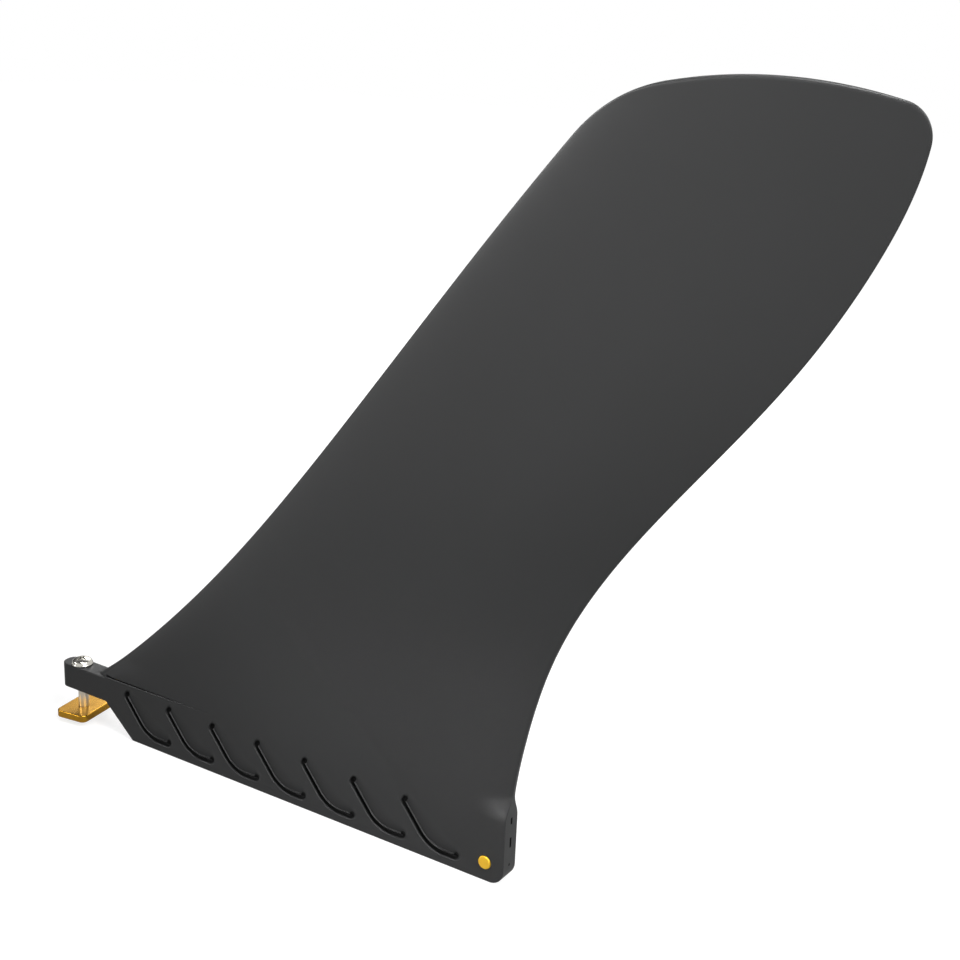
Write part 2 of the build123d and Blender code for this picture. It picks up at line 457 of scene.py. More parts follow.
def round_corners(points, radii, steps):
    """An open polyline whose inner corners are arcs; a radius of 0 keeps a corner."""
    points = [np.asarray(point, float) for point in points]
    path = [points[0]]
    for before, corner, after, radius in zip(points, points[1:], points[2:], radii):
        if radius == 0:
            path.append(corner)
            continue
        into = (corner - before) / np.linalg.norm(corner - before)
        out = (after - corner) / np.linalg.norm(after - corner)
        turn = atan2(into[0] * out[1] - into[1] * out[0], into @ out)
        side = 1 if turn > 0 else -1
        start = corner - into * radius * tan(abs(turn) / 2)
        centre = start + radius * side * np.array([-into[1], into[0]])
        for share in np.linspace(0, 1, steps):
            path.append(centre + turned(*(start - centre), turn * share))
    path.append(points[-1])
    return np.array(path)


def right_hand(points):
    """Unit normals on the right of a polyline's way."""
    return right_of(unit(np.gradient(points, axis=0)))


def inset(points, distance):
    """An open polyline moved to the right of its way, with mitred corners."""
    side = right_of(unit(np.diff(points, axis=0)))
    first = np.concatenate([side[:1], side])
    last = np.concatenate([side, side[-1:]])
    both = first + last
    both /= np.sum(both * first, axis=1)[:, None]
    return points + both * distance


def blade_outline():
    """The leading edge from the root up, the tip's arcs, and the trailing edge from the heel up."""
    root = np.array([root_x, tongue_high])
    foot = np.array([heel, base_top])
    stations = [root] + [root + np.array(station) * mm for station in leading_stations]
    end_way = (cos(leading_tip_angle), sin(leading_tip_angle))
    leading = spline(stations, (cos(root_angle), sin(root_angle)), end_way, span_points)
    angle = leading_tip_angle
    start = leading[-1]
    arcs = []
    for radius, turn in tip_arcs:
        arc, angle = arc_on(start, angle, radius, turn, arc_points)
        arcs.append(arc)
        start = arc[-1]
    stations = [start] + [foot + np.array(station) * mm for station in trailing_stations] + [foot]
    trailing = spline(stations, (cos(angle), sin(angle)), (0, -1), span_points)
    return leading, arcs, trailing[::-1]


leading_edge, tip_curves, trailing_edge = blade_outline()
blade_high = max(arc[:, 1].max() for arc in tip_curves)


def edge_at(edge, z):
    """How far along the blade's edge stands at a height, carried on straight past the tip."""
    run = np.interp(z, edge[:, 1], edge[:, 0])
    slope = (edge[-1, 0] - edge[-2, 0]) / (edge[-1, 1] - edge[-2, 1])
    return run + np.maximum(z - edge[-1, 1], 0) * slope


def edge_rise(run, length, half_edge, half_full, bluntness=plain_bluntness):
    """Half thickness at a run from an edge, which grows to the full one where the length ends."""
    share = np.clip(run / length, 0, 1)
    part = share
    if bluntness != plain_bluntness:
        bend = 1 - 2 * bluntness
        part = (np.sqrt(bluntness**2 + bend * share) - bluntness) / bend
    return half_edge + (half_full - half_edge) * (2 * part - part**2)


def half_foot(x):
    """Half thickness at the blade's foot, blunt at the nose."""
    run = x - root_x + foil_overrun
    full = half_base - foot_inset * (1 - smooth(run / crease_run))
    nose = edge_rise(run, nose_length_foot, half_nose_foot, full, nose_bluntness_foot)
    tail = edge_rise(heel - x + foil_overrun, tail_length_root, half_base, full)
    return np.minimum(nose, tail)


def half_blade(x, z):
    """Half thickness of the blade above its foot."""
    share = (z - base_top) / (blade_high - base_top)
    full = half_base + (half_tip - half_base) * share
    nose_length = nose_length_root + (nose_length_tip - nose_length_root) * share
    growth = smooth((z - base_top - shoulder_height) / tail_growth_height)
    tail_length = tail_length_root + (tail_length_blade - tail_length_root) * growth
    front = edge_at(leading_edge, z) - foil_overrun
    back = edge_at(trailing_edge, z) + foil_overrun
    nose = edge_rise(x - front, nose_length, half_nose, full, nose_bluntness)
    tail = edge_rise(back - x, tail_length, np.minimum(half_tail, full), full)
    return np.minimum(nose, tail)


def crease_fade(x):
    """How much of the crease is left at a place along the base."""
    return smooth((x - nose_foot) / crease_start) * (1 - smooth((x - nose_foot) / crease_run))


def foot_top(x):
    """The height of the base's top edge, which dips a little along the crease."""
    return base_top - crease_drop * crease_fade(x)


def half_thickness(x, z):
    """Half the blade's thickness at any place in its side view, less the fine crease above the base."""
    low = tongue_high + (base_top - tongue_high) * smooth((x - nose_foot) / nose_climb)
    share = smooth((z - low) / (base_top + shoulder_height - low))
    line = foot_top(x) + crease_height
    crease = crease_depth * crease_fade(x) * np.exp(-(((z - line) / crease_spread) ** 2))
    shift = edge_at(leading_edge, np.maximum(z, tongue_high)) - root_x
    foot = half_foot(x - shift * (1 - smooth((x - root_x) / (heel - root_x))))
    return foot + (half_blade(x, z) - foot) * share - crease


def blade_frame():
    """The blade's outline, the same line drawn in by its rounding, the rounding itself, and how many of
    the points are on the front and on the top."""
    front_arc, crown_arc, rear_arc = tip_curves
    half = len(front_arc) // 2
    up = eased(blade_rows, row_pull)
    left = at_shares(np.concatenate([leading_edge, front_arc[1 : half + 1]]), up)
    top = np.concatenate([front_arc[half:], crown_arc[1:], rear_arc[1 : half + 1]])
    top = at_shares(top, eased(blade_columns, column_pull))
    right = at_shares(np.concatenate([trailing_edge, rear_arc[half:-1][::-1]]), up)
    chain = np.concatenate([left, top[1:], right[::-1][1:]])
    inward = right_hand(chain)
    along = run_along(chain)
    level = np.sign(inward[:, :1]) * np.array([[1.0, 0.0]])
    turn = smooth(np.minimum(along, along[-1] - along) / level_run)[:, None]
    way = unit(level * (1 - turn) + inward * turn)
    past_front = smooth((along - along[len(left) - 1]) / tip_round_run)
    past_tip = smooth((along - along[-len(right)]) / trailing_round_run)
    near_root = 1 - smooth(along / root_round_run)
    rounding = leading_round + (root_round - leading_round) * near_root
    rounding = rounding + (tip_round - rounding) * past_front
    rounding = rounding + (trailing_round - rounding) * past_tip
    inner = chain + way * (rounding / np.sum(way * inward, axis=1))[:, None]
    return chain, inner, rounding, len(left), len(top)


def coons(left, top, right, bottom, across, up):
    """A sheet of points stretched between four sides."""
    s = across[None, :, None]
    t = up[:, None, None]
    ends = (1 - t) * ((1 - s) * bottom[0] + s * bottom[-1]) + t * ((1 - s) * top[0] + s * top[-1])
    sides = (1 - s) * left[:, None, :] + s * right[:, None, :]
    return (1 - t) * bottom[None, :, :] + t * top[None, :, :] + sides - ends


def edge_rows(outer, inner, half, rounding):
    """Rows of points that round an edge over, from the side to the rim."""
    rounding = np.minimum(rounding, half)
    rows = []
    for angle in round_angles:
        flat = inner + (outer - inner) * sin(angle)
        y = -(half - rounding + rounding * cos(angle))
        rows.append(np.stack([flat[:, 0], y, flat[:, 1]], axis=1))
    return np.array(rows)


def groove_skin():
    """One groove: a channel and a scoop on the two sides of a crest, turned round both of its ends."""
    run = (crest_top - crest_foot) / tan(crest_slope)
    corners = [(0, crest_top), (run, crest_foot), (crest_reach, crest_foot)]
    shares = np.linspace(0, 1, crest_points)
    crest = at_shares(round_corners(corners, [crest_bend], 40), shares)
    outward = right_hand(crest)
    channel = np.array(channel_section) * mm
    scoop = np.array(scoop_section) * mm

    def row(place, way, section):
        spots = place + section[:, :1] * way
        return np.stack([spots[:, 0], section[:, 1] - half_base, spots[:, 1]], axis=1)

    def fan(place, way, side, held):
        """Rows that turn from the channel to the scoop round an end of the crest."""
        rows = []
        for share in np.linspace(0, 1, turn_points):
            spun = np.array(turned(*way, side * pi * share))
            blend = smooth((share - held) / (1 - held))
            rows.append(row(place, spun, channel + (scoop - channel) * blend))
        return rows

    channel_rows = [row(place, way, channel) for place, way in zip(crest, outward)]
    scoop_rows = []
    for place, way, share in zip(crest, outward, shares):
        wide = scoop.copy()
        wide[:, 0] += np.maximum(wide[:, 0] - scoop_near, 0) * scoop_spread * sin(pi * share)
        scoop_rows.append(row(place, -way, wide))
    top_fan = fan(crest[0], outward[0], -1, held_top)
    foot_fan = fan(crest[-1], outward[-1], 1, held_foot)
    skin = Shell()
    for rows in (channel_rows, scoop_rows, top_fan, foot_fan):
        skin.grid(rows)
    rim = channel_rows + foot_fan[1:] + scoop_rows[-2::-1] + top_fan[-2:0:-1]
    return skin.mesh("groove"), [(line[-1][0], line[-1][2]) for line in rim]


def half_slot(middle, length):
    """The near half of an upright slot in the end face, from its top down, as (y, z)."""
    straight = length / 2 - slot_half_width
    points = []
    for start, centre in ((0, middle + straight), (pi / 2, middle - straight)):
        for a in np.linspace(start, start + pi / 2, 9):
            points.append((-slot_half_width * sin(a), centre + slot_half_width * cos(a)))
    return points


def blade_side(skin):
    """The blade's near side and its rounded edge; gives the foot's line, the edge's rows of points, and
    which points of a row stand beside the rear end face."""
    chain, inner, rounding, left_size, top_size = blade_frame()
    left = inner[:left_size]
    top = inner[left_size - 1 : left_size - 1 + top_size]
    right = inner[left_size + top_size - 2 :][::-1]
    across = eased(blade_columns, column_pull)
    foot_x = left[0, 0] + (right[0, 0] - left[0, 0]) * across
    step = np.searchsorted(foot_x, nose_foot)
    foot_x[step - 1 : step + 1] = nose_foot - step_half_run, nose_foot + step_half_run
    foot_z = np.where(foot_x < nose_foot, tongue_high, foot_top(foot_x))
    rise = smooth((foot_x - foot_x[0]) / (nose_foot - foot_x[0]))
    fall = smooth((foot_x[-1] - foot_x) / strip_fall)
    bottom_z = tongue_high + (base_top - tongue_high) * rise + strip_height * rise * fall
    bottom = np.stack([foot_x, bottom_z], axis=1)
    side = coons(left, top, right, bottom, across, eased(blade_rows, row_pull))
    depth = half_thickness(side[..., 0], side[..., 1])
    skin.grid(np.stack([side[..., 0], -depth, side[..., 1]], axis=2))
    strip = []
    for share in np.linspace(0, 1, 12):
        z = foot_z + (bottom_z - foot_z) * share
        strip.append(np.stack([foot_x, -half_thickness(foot_x, z), z], axis=1))
    skin.grid(strip)
    rim = edge_rows(chain, inner, half_thickness(inner[:, 0], inner[:, 1]), rounding)
    skin.grid(rim)
    behind = np.arange(len(chain)) > len(chain) / 2
    low_rear = np.nonzero(behind & (chain[:, 1] <= end_face_top))[0]
    skin.to_middle(rim[-1][: low_rear[0] + 1])
    return strip[0], rim, low_rear


def base_under(skin):
    """The rounding along the heel, the bottom, the toe and under the tongue; gives its first and last
    lines, on the side and on the rim."""
    corners = [(heel, base_top), (heel, 0), (toe, 0), (nose_foot, tongue_low)]
    corners.append((tongue_start, tongue_low))
    outer = round_corners(corners, [heel_radius, toe_radius, 0], 14)
    inner = inset(outer, edge_round)
    rim = edge_rows(outer, inner, np.full(len(outer), half_base), np.full(len(outer), edge_round))
    skin.grid(rim)
    skin.to_middle(rim[-1][1:-1])
    return inner, rim[-1]


def base_over(skin, foot):
    """The rounding along the tops of the tongue and the base, and the ledge beside the blade's foot;
    gives the line where it meets the side, and the line where it meets the tongue's top."""
    lead_x = np.linspace(tongue_start, root_x, 16)
    lead = len(lead_x)
    top_x = np.concatenate([lead_x, foot[:, 0]])
    top_z = np.concatenate([np.full(lead, tongue_high), foot[:, 2]])
    radius = np.concatenate([np.full(lead, edge_round), np.clip(half_base + foot[:, 1], 0, edge_round)])
    rows = []
    for angle in round_angles:
        y = -(half_base - radius + radius * cos(angle))
        rows.append(np.stack([top_x, y, top_z - radius + radius * sin(angle)], axis=1))
    skin.grid(rows)
    ledge = rows[-1][lead:]
    open_to = np.nonzero(ledge[:, 1] - foot[:, 1] < -weld)[0][-1] + 2
    skin.grid([ledge[:open_to], foot[:open_to]])
    return rows[0], rows[-1][: lead + 1]


def tongue(skin, top_line, nose_line):
    """The tongue's round end, and its flat top and underside with the screw hole between them."""
    bend = np.linspace(0, pi / 2, 12)
    ways = np.stack([-np.sin(bend), -np.cos(bend)], axis=1)
    plan = ways * tongue_round + [tongue_start, tongue_round - half_base]
    ways = np.concatenate([ways, [[-1.0, 0.0]]])
    plan = np.concatenate([plan, [[tongue_end, 0.0]]])
    skin.grid([at_height(plan, z) for z in tongue_levels])
    hole = [(screw_x - screw_hole * cos(a), -screw_hole * sin(a)) for a in np.linspace(0, pi, 24)]
    for level, side in ((tongue_high, 1), (tongue_low, -1)):
        rows = []
        for angle in round_angles:
            drawn = plan - ways * edge_round * (1 - cos(angle))
            rows.append(at_height(drawn, level - side * edge_round * (1 - sin(angle))))
        skin.grid(rows)
        outline = [tuple(point[:2]) for point in rows[-1]] + hole
        if side > 0:
            outline = [tuple(point[:2]) for point in top_line[::-1]] + outline
            outline += [(root_x, 0.0)] + [tuple(point[:2]) for point in nose_line]
        else:
            outline = [(nose_foot, edge_round - half_base)] + outline + [(nose_foot, 0.0)]
        skin.fill(outline, [], lambda x, y, z=level: (x, y, z))
    skin.grid([at_height(hole, z) for z in (tongue_low, tongue_high)])


def end_face(skin, edge_line, low_corner):
    """The flat rear end, with its slots and its dimple."""
    half_turn = np.linspace(pi, 0, 13)
    outline = [tuple(point[1:]) for point in edge_line]
    outline += [tuple(low_corner[1:]), (0.0, low_corner[2])]
    outline += [(-dimple_radius * sin(a), dimple_z + dimple_radius * cos(a)) for a in half_turn]
    for middle, length in rear_slots[::-1]:
        outline += half_slot(middle, length)[::-1]
    outline.append((0.0, edge_line[0][2]))
    skin.fill(outline, [], lambda y, z: (edge_at(trailing_edge, max(z, base_top)), y, z))
    for middle, length in rear_slots:
        mouth = np.array(half_slot(middle, length))
        x = edge_at(trailing_edge, np.maximum(mouth[:, 1], base_top))
        floor_points = np.column_stack([x - slot_depth, mouth])
        skin.grid([np.column_stack([x, mouth]), floor_points])
        skin.add(floor_points, [tuple(range(len(floor_points)))])
    dimple = []
    for share in (0.0, 0.4, 0.75, 1.0):
        x = heel - dimple_depth * sin(share * pi / 2)
        reach = dimple_radius * cos(share * pi / 2)
        dimple.append([(x, -reach * sin(a), dimple_z + reach * cos(a)) for a in half_turn])
    skin.grid(dimple)


def pin_bore(skin):
    """The cross pin's bore and its chamfer; gives the chamfer's rim."""
    rings = []
    for wider, y in ((bore_chamfer, -half_base), (0.0, bore_chamfer_depth - half_base), (0.0, 0.0)):
        reach = pin_radius + pin_gap + wider
        rings.append([(pin_x + reach * cos(a), y, pin_z + reach * sin(a)) for a in around(48)])
    skin.loops(rings)
    return [(x, z) for x, _, z in rings[0]]


def add_grooves(skin, grooves, groove_loop):
    """Sets the row of grooves into the base's side; gives the outline of each."""
    points = np.array([vertex.co for vertex in grooves.vertices])
    skin.add(points, [tuple(face.vertices) for face in grooves.polygons])
    starts = [groove_start + k * groove_pitch for k in range(groove_count)]
    return [[(x + start, z) for x, z in groove_loop] for start in starts]


def fin_half(grooves, groove_loop):
    """The near half of the moulding, cut at its middle plane."""
    skin = Shell()
    foot, rim, low_rear = blade_side(skin)
    under_inner, under_edge = base_under(skin)
    side_line, top_line = base_over(skin, foot)
    tongue(skin, top_line, [row[0] for row in rim[::-1]])
    end_face(skin, rim[-1][low_rear], under_edge[1])
    bore = pin_bore(skin)
    holes = add_grooves(skin, grooves, groove_loop) + [bore]
    outline = [(x, z) for x, _, z in side_line[::-1]]
    outline += [(tongue_start, z) for z in tongue_levels[::-1]]
    outline += [tuple(point) for point in under_inner[::-1]]
    skin.fill(outline, holes, lambda x, z: (x, -half_base, z))
    return skin


def pin_skin():
    """The cross pin, its ends rounded over and a little domed."""
    end = half_base + pin_proud
    near_end = [(middle_ring, -end)] + [(radius * mm, drop * mm - end) for radius, drop in pin_dome]
    centre = pin_radius - pin_round
    for angle in np.linspace(0, pi / 2, 9):
        drop = pin_dome_drop + pin_round * (1 - cos(angle))
        near_end.append((centre + pin_round * sin(angle), drop - end))
    profile = near_end + [(radius, -y) for radius, y in near_end[::-1]]
    skin = Shell()
    skin.loops([
        [(pin_x + radius * cos(a), y, pin_z + radius * sin(a)) for a in around(72)]
        for radius, y in profile
    ])
    return skin


def cross_outline():
    """The recess's cross in plan: four wings with rounded ends, and a round core between them."""
    wide, reach, core = recess_half_width, recess_reach, recess_core
    wing = [(core, wide * wing_flare), (core + wing_neck * (reach - core), wide)]
    for a in np.linspace(0, pi / 2, 7):
        wing.append((reach - wide * wing_end * (1 - sin(a)), wide * cos(a)))
    half = wing + [(x, -y) for x, y in wing[-2::-1]]
    return np.array([turned(x, y, -quarter * pi / 2) for quarter in range(4) for x, y in half])


def screw_skin():
    """The pan head screw with its cross recess, standing on the tongue's top."""
    plan = cross_outline()
    angles = np.arctan2(plan[:, 1], plan[:, 0])
    reach = np.hypot(plan[:, 0], plan[:, 1])

    def ring(radius, height):
        level = np.broadcast_to(height, angles.shape)
        spots = np.stack([radius * np.cos(angles), radius * np.sin(angles), level], axis=1)
        return spots + [screw_x, 0, tongue_high]

    def dome(radius):
        edge_radius, edge_height = head_profile[-1]
        share = radius / (edge_radius * mm)
        return (head_top - (head_top - edge_height) * share**2) * mm

    rings = []
    for share in np.linspace(0, 1, 5):
        scale = recess_floor + (1 - recess_floor) * share
        rings.append(ring(reach * scale, dome(reach) - recess_depth * (1 - share)))
    low = rings[0][:, 2].mean()
    rings[0][:, 2] = low
    rings.insert(0, ring(reach * recess_middle, low - tongue_high - recess_point))
    lip = reach + recess_lip
    rings.append(ring(lip, dome(lip)))
    outer = head_profile[-1][0] * mm
    for share in np.linspace(0, 1, 6)[1:]:
        radius = np.maximum(lip, reach + (outer - reach) * share)
        rings.append(ring(radius, dome(radius)))
    for radius, height in head_profile[-2::-1]:
        rings.append(ring(radius * mm, height * mm))
    rings.append(ring(screw_radius, 0.0))
    rings.append(ring(screw_radius, screw_point - screw_length))
    rings.append(ring(screw_radius - screw_point, -screw_length))
    rings.append(ring(middle_ring, -screw_length))
    skin = Shell()
    skin.loops(rings)
    return skin


def plate_skin():
    """The track plate: an oblong with rounded corners and edges, and its hole."""

    def outline(drawn_in):
        radius = plate_corner - drawn_in
        points = []
        for quarter in range(4):
            side_x = (1, -1, -1, 1)[quarter] * (plate_half_length - plate_corner)
            side_y = (1, 1, -1, -1)[quarter] * (plate_half_width - plate_corner)
            for a in np.linspace(0, pi / 2, 13) + quarter * pi / 2:
                points.append((side_x + radius * cos(a), side_y + radius * sin(a)))
        return points

    def circle(radius):
        return [(radius * cos(a), radius * sin(a)) for a in around(64)]

    def place(x, y, z):
        x, y = turned(x, y, plate_turn)
        return screw_x + x, y, z

    rings = []
    for end, side in ((plate_low, 1), (plate_top, -1)):
        for angle in round_angles[::side]:
            level = end + side * plate_round * (1 - cos(angle))
            rings.append([place(x, y, level) for x, y in outline(plate_round * (1 - sin(angle)))])
    skin = Shell()
    skin.loops(rings)
    hole, wide = circle(plate_hole), circle(plate_hole + plate_bevel)
    for level, side in ((plate_low, 1), (plate_top, -1)):
        skin.fill(outline(plate_round), [wide], lambda x, y, z=level: place(x, y, z))
        bevel_end = level + side * plate_bevel
        skin.loops([[place(x, y, level) for x, y in wide], [place(x, y, bevel_end) for x, y in hole]])
    bore = (plate_low + plate_bevel, plate_top - plate_bevel)
    skin.loops([[place(x, y, z) for x, y in hole] for z in bore])
    return skin


class Socket:
    """A number in a shader, so that its maths is written as plain expressions."""

    def __init__(self, maker, link):
        self.maker = maker
        self.link = link

    def math(self, operation, first, second):
        return self.maker.node("ShaderNodeMath", {"operation": operation}, [first, second])[0]

    def __add__(self, other):
        return self.math("ADD", self, other)

    def __radd__(self, other):
        return self.math("ADD", other, self)

    def __sub__(self, other):
        return self.math("SUBTRACT", self, other)

    def __rsub__(self, other):
        return self.math("SUBTRACT", other, self)

    def __mul__(self, other):
        return self.math("MULTIPLY", self, other)

    def __rmul__(self, other):
        return self.math("MULTIPLY", other, self)

    def __truediv__(self, other):
        return self.math("DIVIDE", self, other)

    def clamped(self):
        return self.maker.node("ShaderNodeClamp", {}, [self, 0.0, 1.0])[0]

    def past(self, edge, run):
        """0 before an edge and 1 after it, with a ramp behind it."""
        return ((self - edge) / run).clamped()

    def short_of(self, edge, run):
        """1 before an edge and 0 after it, with a ramp in front of it."""
        return ((edge - self) / run).clamped()

    def between(self, low, high, run):
        return self.past(low, run) * self.short_of(high, run)


class Graph:
    """A node tree, built node by node."""

    def __init__(self, tree):
        self.tree = tree
        self.tree.nodes.clear()

    def node(self, kind, settings, values):
        """Any node: its settings first, then the values or links of its inputs, by place or by name."""
        made = self.tree.nodes.new(kind)
        for name, value in settings.items():
            setattr(made, name, value)
        pairs = values.items() if isinstance(values, dict) else enumerate(values)
        for key, value in pairs:
            if isinstance(value, Socket):
                self.tree.links.new(value.link, made.inputs[key])
            else:
                made.inputs[key].default_value = value
        return [Socket(self, output) for output in made.outputs]

    def split(self, vector):
        """The three numbers of a vector."""
        return self.node("ShaderNodeSeparateXYZ", {}, [vector])

    def length(self, vector):
        return self.node("ShaderNodeVectorMath", {"operation": "LENGTH"}, [vector])[1]

    def rays(self):
        """Numbers that are 1 for camera rays, for glossy rays, and for rays through something clear."""
        path = self.node("ShaderNodeLightPath", {}, [])
        return path[0], path[3], path[6]

    def output(self, kind, shader):
        self.tree.links.new(shader.link, self.tree.nodes.new(kind).inputs["Surface"])


class Finish(Graph):
    """One material on Object coordinates."""

    def __init__(self, name):
        self.material = bpy.data.materials.new(name)
        self.material.use_nodes = True
        super().__init__(self.material.node_tree)
        self.place = self.node("ShaderNodeTexCoord", {}, [])[3]

    def scaled(self, factors):
        return self.node("ShaderNodeMapping", {}, {"Vector": self.place, "Scale": factors})[0]

    def noise(self, scale, detail, roughness=0.5, place=None):
        values = {"Vector": place or self.place, "Scale": scale, "Detail": detail}
        return self.node("ShaderNodeTexNoise", {}, {**values, "Roughness": roughness})[0]

    def mix(self, share, first, second):
        return self.node("ShaderNodeMix", {"data_type": "RGBA"}, {0: share, 6: first, 7: second})[2]

    def bump(self, height, strength, distance):
        values = {"Strength": strength, "Distance": distance, "Height": height}
        return self.node("ShaderNodeBump", {}, values)[0]

    def surface(self, **values):
        """The finish itself, named as the shader's sockets are, with spaces as underscores."""
        named = {name.replace("_", " "): value for name, value in values.items()}
        self.output("ShaderNodeOutputMaterial", self.node("ShaderNodeBsdfPrincipled", {}, named)[0])
        return self.material


def black_nylon():
    """Satin moulded nylon, with painted shade inside the grooves, the end face's slots and the crease.
    """
    finish = Finish("black_nylon")
    cloud = finish.noise(scale=28.0, detail=3.0)
    grain = finish.noise(scale=5200.0, detail=2.0, roughness=0.6)
    flow = finish.noise(scale=160.0, detail=4.0, roughness=0.6)
    x, y, z = finish.split(finish.place)
    across = finish.node("ShaderNodeMath", {"operation": "ABSOLUTE"}, [y])[0]
    depth = half_base - across
    # Painted shade: the nylon turns near black in the grooves, the crease above the base and the end
    # face's slots, by depth and place
    (near, near_run, near_share), (far, far_run, far_share) = groove_shades
    groove_painted_shade = depth.past(near, near_run) * near_share + depth.past(far, far_run) * far_share
    groove_painted_shade = groove_painted_shade * z.between(*groove_band, fade) * x.short_of(groove_end, groove_fade)
    groove_painted_shade = groove_painted_shade * (x + z * toe_lean).past(toe, groove_fade)
    crease_painted_shade = depth.past(crease_shade_depth, fade) * z.between(*crease_band, fade)
    crease_painted_shade = crease_painted_shade * x.past(nose_foot, crease_start) * x.short_of(crease_end, crease_fade_out)
    slot_painted_shade = across.short_of(slot_shade_half_width, fine_fade) * z.between(*slot_band, fade)
    slot_painted_shade = slot_painted_shade * x.past(heel - slot_shade_end, fade)
    slot_painted_shade = slot_painted_shade * x.short_of(heel - slot_shade_depth, 2 * fine_fade)
    painted_shade = (groove_painted_shade + crease_painted_shade + slot_painted_shade).clamped()
    return finish.surface(
        Base_Color=finish.mix(painted_shade, finish.mix(cloud, *nylon_tones), nylon_painted_shade),
        Roughness=(0.33 + grain * 0.06 + flow * 0.05 + painted_shade * 0.35).clamped(),
        Specular_IOR_Level=0.22,
        Normal=finish.bump(grain * 0.7 + flow * 0.3, strength=0.12, distance=0.04 * mm),
    )


def machined_brass():
    """Bright turned and milled brass; the pin, which lies behind the origin, has a rougher cut end and
    a paler colour that is painted brightness.
    """
    finish = Finish("brass")
    cloud = finish.noise(scale=260.0, detail=4.0, roughness=0.65)
    brushed_way = finish.scaled((1.0, 0.06, 1.0))
    brushed = finish.noise(scale=900.0, detail=3.0, roughness=0.6, place=brushed_way)
    # The pin behind the origin: rougher as its own finish, and paler as painted brightness
    cut_end = finish.split(finish.place)[0].past(0.0, 1.0 * mm)
    return finish.surface(
        Base_Color=finish.mix(cut_end, finish.mix(cloud, *brass_tones), brass_pin_painted_brightness),
        Metallic=1.0,
        Roughness=(0.18 + cloud * 0.1 + brushed * 0.05 + cut_end * 0.34).clamped(),
        Normal=finish.bump(brushed * 0.6 + cloud * 0.4, strength=0.12, distance=0.03 * mm),
    )


def bright_steel():
    """Stainless steel with lathe marks, with painted shade in the head's recess and a paler colour on
    the shank as painted brightness.
    """
    finish = Finish("stainless_steel")
    lathe = finish.noise(scale=1400.0, detail=2.0, place=finish.scaled((0.15, 0.15, 1.0)))
    cloud = finish.noise(scale=500.0, detail=2.0)
    x, y, z = finish.split(finish.place)
    from_axis = finish.length(finish.node("ShaderNodeCombineXYZ", {}, [x - screw_x, y, 0.0])[0])
    # Painted shade: the head's cross recess turns dark
    recess_painted_shade = from_axis.short_of(recess_shade_radius, fine_fade)
    recess_painted_shade = recess_painted_shade * z.between(tongue_high, tongue_high + recess_shade_top, 2 * fine_fade)
    shank = z.short_of(tongue_low, 1.0 * mm)
    # Painted brightness: the shank is paler than the head's steel, though the roughness change is its
    # own finish
    colour = finish.mix(shank, finish.mix(cloud, *steel_tones), steel_shank_painted_brightness)
    return finish.surface(
        Base_Color=finish.mix(recess_painted_shade, colour, steel_painted_shade),
        Metallic=1.0,
        Roughness=(0.2 + lathe * 0.08 + shank * 0.15).clamped(),
        Normal=finish.bump(lathe, strength=0.15, distance=0.02 * mm),
    )


def placed(name, data):
    """A new object in the scene."""
    thing = bpy.data.objects.new(name, data)
    bpy.context.scene.collection.objects.link(thing)
    return thing


def baked(holder, name):
    """The finished mesh of an object and its modifiers; the object itself is removed."""
    bpy.context.view_layer.update()
    shown = holder.evaluated_get(bpy.context.evaluated_depsgraph_get())
    data = bpy.data.meshes.new_from_object(shown)
    data.name = name
    bpy.data.objects.remove(holder)
    return data


def row_of(source, name, **values):
    """A plain mesh of copies of a mesh in a row, made by geometry nodes with the given inputs."""
    tree = bpy.data.node_groups.new(name + "_row", "GeometryNodeTree")
    face = tree.interface
    kinds = [("Geometry", "Geometry"), ("Count", "Int"), ("Pitch", "Vector"), ("Start", "Vector")]
    for label, kind in kinds + [("Material", "Material")]:
        face.new_socket(label, in_out="INPUT", socket_type="NodeSocket" + kind)
    face.new_socket("Geometry", in_out="OUTPUT", socket_type="NodeSocketGeometry")
    given = tree.nodes.new("NodeGroupInput").outputs
    taken = tree.nodes.new("NodeGroupOutput").inputs
    line = tree.nodes.new("GeometryNodeMeshLine")
    copies = tree.nodes.new("GeometryNodeInstanceOnPoints")
    real = tree.nodes.new("GeometryNodeRealizeInstances")
    painted = tree.nodes.new("GeometryNodeSetMaterial")
    for output, taker in (
        (given["Count"], line.inputs["Count"]),
        (given["Pitch"], line.inputs["Offset"]),
        (given["Start"], line.inputs["Start Location"]),
        (line.outputs["Mesh"], copies.inputs["Points"]),
        (given["Geometry"], copies.inputs["Instance"]),
        (copies.outputs["Instances"], real.inputs["Geometry"]),
        (real.outputs["Geometry"], painted.inputs["Geometry"]),
        (given["Material"], painted.inputs["Material"]),
        (painted.outputs["Geometry"], taken["Geometry"]),
    ):
        tree.links.new(output, taker)
    holder = placed(name, source)
    modifier = holder.modifiers.new("row", "NODES")
    modifier.node_group = tree
    for item in face.items_tree:
        if item.in_out == "INPUT" and item.name in values:
            modifier[item.identifier] = values[item.name]
    return baked(holder, name)


def piece(name, data, material, replaced):
    """A finished piece in place of its solid."""
    thing = placed(name, data)
    data.materials.clear()
    data.materials.append(material)
    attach(thing, "root")
    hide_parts(replaced)


def shaded(skin, name):
    """A skin's mesh with smooth faces, true corners, and flat areas that stay flat."""
    holder = placed(name + "_holder", skin.mesh(name))
    holder.data.shade_smooth()
    holder.data.set_sharp_from_angle(angle=radians(35))
    weighted = holder.modifiers.new("weighted", "WEIGHTED_NORMAL")
    weighted.keep_sharp = True
    weighted.weight = 90
    return baked(holder, name)


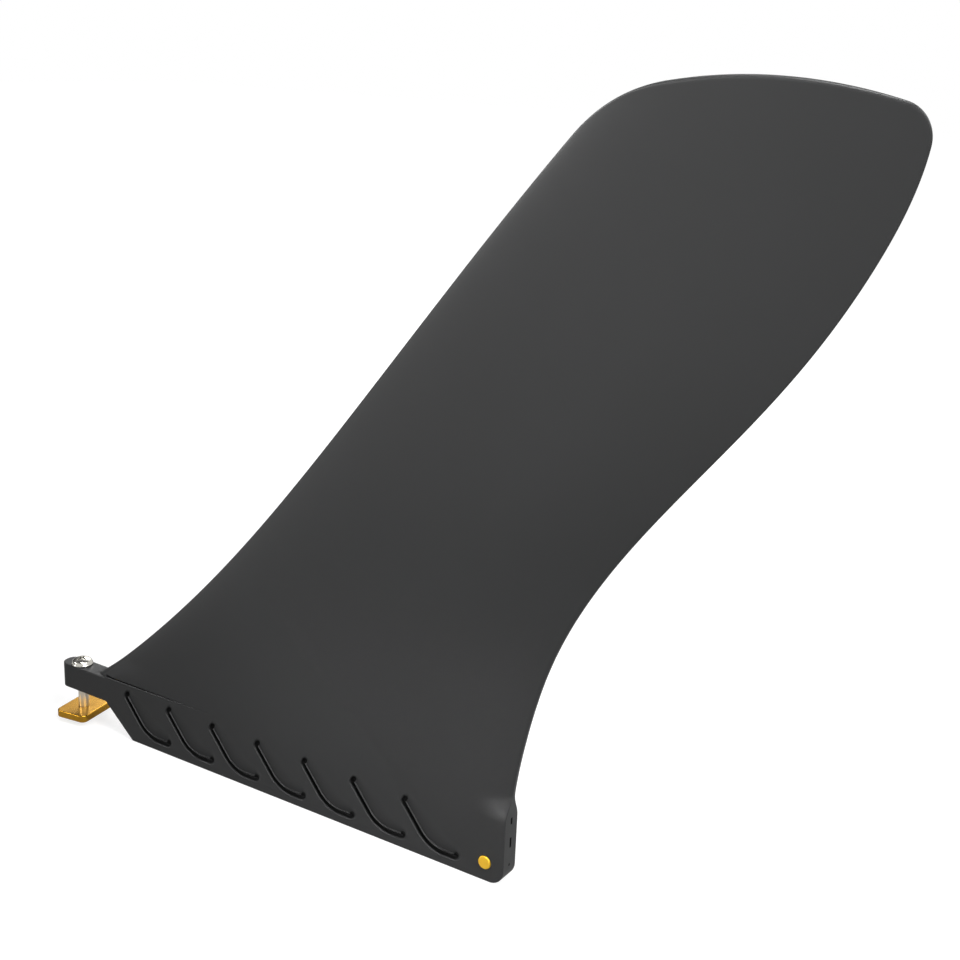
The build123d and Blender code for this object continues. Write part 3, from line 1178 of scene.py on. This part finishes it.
def fin_skin(material):
    """The whole moulding, with its grooves on both sides."""
    groove, groove_loop = groove_skin()
    start, pitch = (groove_start, 0, 0), (groove_pitch, 0, 0)
    grooves = row_of(groove, "grooves", Count=groove_count, Pitch=pitch, Start=start, Material=material)
    skin = fin_half(grooves, groove_loop)
    skin.mirror()
    return skin


def make_camera():
    data = bpy.data.cameras.new("camera")
    data.lens = camera_lens
    data.sensor_width = camera_sensor
    data.clip_start = 0.01
    camera = placed("camera", data)
    back = Vector((
        sin(camera_azimuth) * cos(camera_elevation),
        -cos(camera_azimuth) * cos(camera_elevation),
        sin(camera_elevation),
    ))
    level = Vector((cos(camera_azimuth), sin(camera_azimuth), 0))
    upright = back.cross(level)
    right = level * cos(camera_roll) + upright * sin(camera_roll)
    up = upright * cos(camera_roll) - level * sin(camera_roll)
    facing = Matrix((right, up, back)).transposed().to_4x4()
    camera.matrix_world = Matrix.Translation(camera_place) @ facing
    bpy.context.scene.camera = camera


def soft_light(name, place, aim, size, power, beam=pi):
    data = bpy.data.lights.new(name, "AREA")
    data.shape = "RECTANGLE"
    data.size, data.size_y = size
    data.energy = power
    data.spread = beam
    lamp = placed(name, data)
    lamp.location = place
    lamp.rotation_euler = (Vector(aim) - Vector(place)).to_track_quat("-Z", "Y").to_euler()


def make_world():
    """A plain even light; the camera sees white, and mirrors see a white studio with its dark parts."""
    world = bpy.data.worlds.new("studio")
    bpy.context.scene.world = world
    world.use_nodes = True
    graph = Graph(world.node_tree)
    camera, glossy, through = graph.rays()
    along, _, height = graph.split(graph.node("ShaderNodeTexCoord", {}, [])[0])
    start, run, share = dark_ceiling
    mirrored = glossy * (1.0 - share * height.past(start, run))
    start, run, share = dark_wing
    mirrored = mirrored * (1.0 - share * along.short_of(start, run))
    seen = (camera + through + mirrored).clamped()
    strength = room_light * (1.0 - camera - glossy - through) + seen
    background = graph.node("ShaderNodeBackground", {}, [white, strength])[0]
    graph.output("ShaderNodeOutputWorld", background)


def make_floor():
    data = bpy.data.meshes.new("floor")
    wide, low = floor_half_width, floor_height
    corners = [(-wide, -wide, low), (wide, -wide, low), (wide, wide, low), (-wide, wide, low)]
    data.from_pydata(corners, [], [(0, 1, 2, 3)])
    floor = placed("floor", data)
    finish = Finish("pale_floor")
    camera, glossy, through = finish.rays()
    seen = (camera + glossy + through).clamped()
    near = floor_glow * camera + mirror_glow * (glossy + through)
    glow = near + (seen - near) * finish.length(finish.place).past(white_from, white_run)
    data.materials.append(finish.surface(
        Base_Color=floor_grey,
        Roughness=0.9,
        Specular_IOR_Level=0.0,
        Emission_Color=finish.mix(glow, black, white),
        Emission_Strength=1.0,
    ))


nylon = black_nylon()
brass = machined_brass()
steel = bright_steel()
piece("nylon_fin", shaded(fin_skin(nylon), "nylon_fin"), nylon, "moulded_fin")
piece("brass_pin", shaded(pin_skin(), "brass_pin"), brass, "cross_pin")
piece("steel_screw", shaded(screw_skin(), "steel_screw"), steel, "fin_screw")
piece("brass_plate", shaded(plate_skin(), "brass_plate"), brass, "track_plate")
make_camera()
make_world()
make_floor()
for name, lamp in lamps.items():
    soft_light(name, **lamp)
scene = bpy.context.scene
scene.view_settings.view_transform = "Standard"
